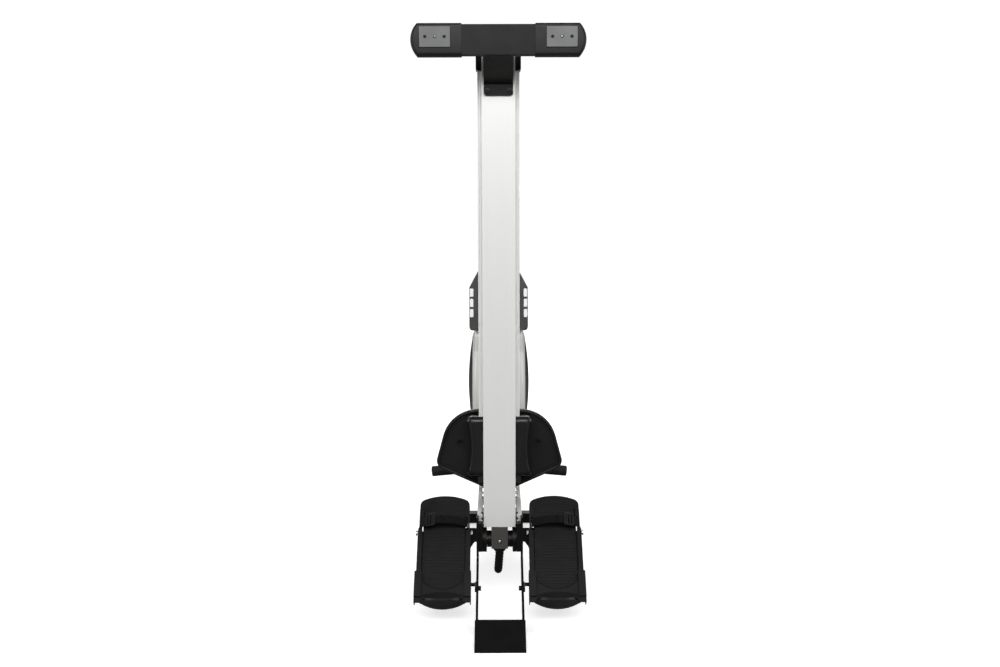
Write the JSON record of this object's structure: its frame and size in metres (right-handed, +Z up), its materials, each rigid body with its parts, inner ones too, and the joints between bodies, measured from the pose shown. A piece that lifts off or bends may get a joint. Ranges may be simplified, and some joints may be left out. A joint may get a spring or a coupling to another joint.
{
  "type": "folding rowing machine",
  "caption": "Folding rowing machine in its upright storage pose: sliding seat on a long rail, footrests with straps, pull handle, flywheel housing and console.",
  "frame": {"origin": "on the floor, under the middle of the folded machine's bounding box", "axes": "+Z up, +Y from the support leg toward the flywheel housing, +X across the machine"},
  "size_m": [0.469, 1.2, 1.5875],
  "materials": {
    "rail_aluminium": "satin silver anodised",
    "frame_paint": "silver-grey powder coat",
    "black_steel": "black powder coat",
    "bracket_steel": "dark grey paint",
    "black_plastic": "fine grained",
    "gloss_black": "glossy",
    "console_plastic": "satin",
    "shell_plastic": "light grey, glossy",
    "mesh_black": "perforated",
    "pad_rubber": "mid grey",
    "black_rubber": "matt",
    "roller_plastic": "smooth",
    "seat_cover": "fine grain, black",
    "webbing": "woven webbing",
    "zinc": "zinc plated",
    "bright_steel": "plain",
    "cast_iron": "turned rim",
    "key_plastic": "white",
    "screen": "dark display window"
  },
  "bodies": {
    "frame": {"main_beam": "frame_paint", "hinge_cheeks": "frame_paint", "hinge_axle": "bright_steel", "support_leg": "black_steel", "front_stabiliser": "black_steel", "front_caps": "black_plastic", "frame_fasteners": "zinc", "drive_frame": "frame_paint", "housing_left": "shell_plastic", "housing_right": "shell_plastic", "dome_left": "mesh_black", "dome_right": "mesh_black", "handle_cradle": "black_steel", "footplate_left": "black_plastic", "footplate_right": "black_plastic", "footrest_arms": "black_steel", "footrest_stays": "black_steel", "foot_straps": "webbing", "strap_buckles": "black_plastic", "drive_axles": "bright_steel", "recoil_spring": "bright_steel", "brake_motor": "black_plastic", "drive_belt": "black_rubber", "pull_strap": "webbing"},
    "rail_assembly": {"rail": "rail_aluminium", "lock_bracket": "bracket_steel", "hinge_sleeve": "black_steel", "rail_end_cap": "black_plastic", "rear_post": "black_steel", "rear_stabiliser": "black_steel", "rear_caps": "black_plastic", "rear_pads": "pad_rubber", "rail_fasteners": "black_steel", "seat_stops": "black_rubber"},
    "release_knob": {"lock_knob": "gloss_black"},
    "seat": {"seat_cushion": "seat_cover", "seat_pan": "black_plastic", "seat_carriage": "bright_steel", "carriage_covers": "gloss_black", "seat_screws": "black_steel"},
    "front_roller_pair": {"rollers_front": "roller_plastic"},
    "rear_roller_pair": {"rollers_rear": "roller_plastic"},
    "left_heel_cup": {"heel_cup_left": "black_plastic"},
    "right_heel_cup": {"heel_cup_right": "black_plastic"},
    "left_wheel": {"transport_wheel_left": "black_rubber"},
    "right_wheel": {"transport_wheel_right": "black_rubber"},
    "console": {"console_case": "console_plastic", "console_screen": "screen"},
    "left_key_1": {"key_left_1": "key_plastic"},
    "left_key_2": {"key_left_2": "key_plastic"},
    "left_key_3": {"key_left_3": "key_plastic"},
    "right_key_1": {"key_right_1": "key_plastic"},
    "right_key_2": {"key_right_2": "key_plastic"},
    "right_key_3": {"key_right_3": "key_plastic"},
    "flywheel": {"flywheel": "cast_iron"},
    "drive_pulley": {"drive_pulley": "roller_plastic"},
    "strap_drum": {"strap_drum": "roller_plastic"},
    "handle": {"handle_bar": "bright_steel", "handle_grips": "black_rubber"},
    "brake_arm": {"magnet_arm": "cast_iron"}
  },
  "joints": [
    {"name": "rail_fold", "type": "hinge", "parent": "frame", "child": "rail_assembly", "pos_m": [0, -0.264, 0.195], "axis": [1, 0, 0], "range_deg": [0, 90]},
    {"name": "seat_slide", "type": "slide", "parent": "rail_assembly", "child": "seat", "axis": [0, 0, 1], "range_m": [0, 0.935]},
    {"name": "front_rollers_turn", "type": "hinge", "parent": "seat", "child": "front_roller_pair", "pos_m": [0, -0.2347, 0.4085], "axis": [1, 0, 0], "continuous": true},
    {"name": "rear_rollers_turn", "type": "hinge", "parent": "seat", "child": "rear_roller_pair", "pos_m": [0, -0.2347, 0.5105], "axis": [1, 0, 0], "continuous": true},
    {"name": "knob_pull", "type": "slide", "parent": "rail_assembly", "child": "release_knob", "axis": [0, 0, -1], "range_m": [0, 0.012], "stiffness_N_per_m": 900, "springref_m": -0.01},
    {"name": "left_heel_adjust", "type": "slide", "parent": "frame", "child": "left_heel_cup", "axis": [0, 0.7071, 0.7071], "range_m": [0, 0.06]},
    {"name": "right_heel_adjust", "type": "slide", "parent": "frame", "child": "right_heel_cup", "axis": [0, 0.7071, 0.7071], "range_m": [0, 0.06]},
    {"name": "left_wheel_roll", "type": "hinge", "parent": "frame", "child": "left_wheel", "pos_m": [-0.131, 0.581, 0.022], "axis": [1, 0, 0], "continuous": true},
    {"name": "right_wheel_roll", "type": "hinge", "parent": "frame", "child": "right_wheel", "pos_m": [0.131, 0.581, 0.022], "axis": [1, 0, 0], "continuous": true},
    {"name": "console_tilt", "type": "hinge", "parent": "frame", "child": "console", "pos_m": [0, 0.206, 0.723], "axis": [1, 0, 0], "range_deg": [-10, 12]},
    {"name": "left_key_1_press", "type": "slide", "parent": "console", "child": "left_key_1", "axis": [0, 0.9659, -0.2588], "range_m": [0, 0.001], "stiffness_N_per_m": 400, "springref_m": -0.001},
    {"name": "left_key_2_press", "type": "slide", "parent": "console", "child": "left_key_2", "axis": [0, 0.9659, -0.2588], "range_m": [0, 0.001], "stiffness_N_per_m": 400, "springref_m": -0.001},
    {"name": "left_key_3_press", "type": "slide", "parent": "console", "child": "left_key_3", "axis": [0, 0.9659, -0.2588], "range_m": [0, 0.001], "stiffness_N_per_m": 400, "springref_m": -0.001},
    {"name": "right_key_1_press", "type": "slide", "parent": "console", "child": "right_key_1", "axis": [0, 0.9659, -0.2588], "range_m": [0, 0.001], "stiffness_N_per_m": 400, "springref_m": -0.001},
    {"name": "right_key_2_press", "type": "slide", "parent": "console", "child": "right_key_2", "axis": [0, 0.9659, -0.2588], "range_m": [0, 0.001], "stiffness_N_per_m": 400, "springref_m": -0.001},
    {"name": "right_key_3_press", "type": "slide", "parent": "console", "child": "right_key_3", "axis": [0, 0.9659, -0.2588], "range_m": [0, 0.001], "stiffness_N_per_m": 400, "springref_m": -0.001},
    {"name": "flywheel_spin", "type": "hinge", "parent": "frame", "child": "flywheel", "pos_m": [0, 0.353, 0.543], "axis": [1, 0, 0], "continuous": true},
    {"name": "pulley_spin", "type": "hinge", "parent": "frame", "child": "drive_pulley", "pos_m": [0, 0.165, 0.395], "axis": [1, 0, 0], "continuous": true},
    {"name": "handle_pull", "type": "slide", "parent": "frame", "child": "handle", "axis": [0, 0, 1], "range_m": [0, 0.9], "stiffness_N_per_m": 6, "springref_m": -2, "deforming": ["pull_strap"]},
    {"name": "drum_turn", "type": "hinge", "parent": "frame", "child": "strap_drum", "pos_m": [0, 0.165, 0.395], "axis": [1, 0, 0], "range_deg": [-1650, 0]},
    {"name": "brake_swing", "type": "hinge", "parent": "frame", "child": "brake_arm", "pos_m": [0, 0.36805, 0.68621], "axis": [1, 0, 0], "range_deg": [0, 4]}
  ],
  "couplings": [
    {"joint": "front_rollers_turn", "follows": "seat_slide", "rad_per_m": 66.667},
    {"joint": "rear_rollers_turn", "follows": "seat_slide", "rad_per_m": 66.667},
    {"joint": "pulley_spin", "follows": "flywheel_spin", "ratio": 0.25714},
    {"joint": "drum_turn", "follows": "handle_pull", "rad_per_m": -31.847}
  ]
}
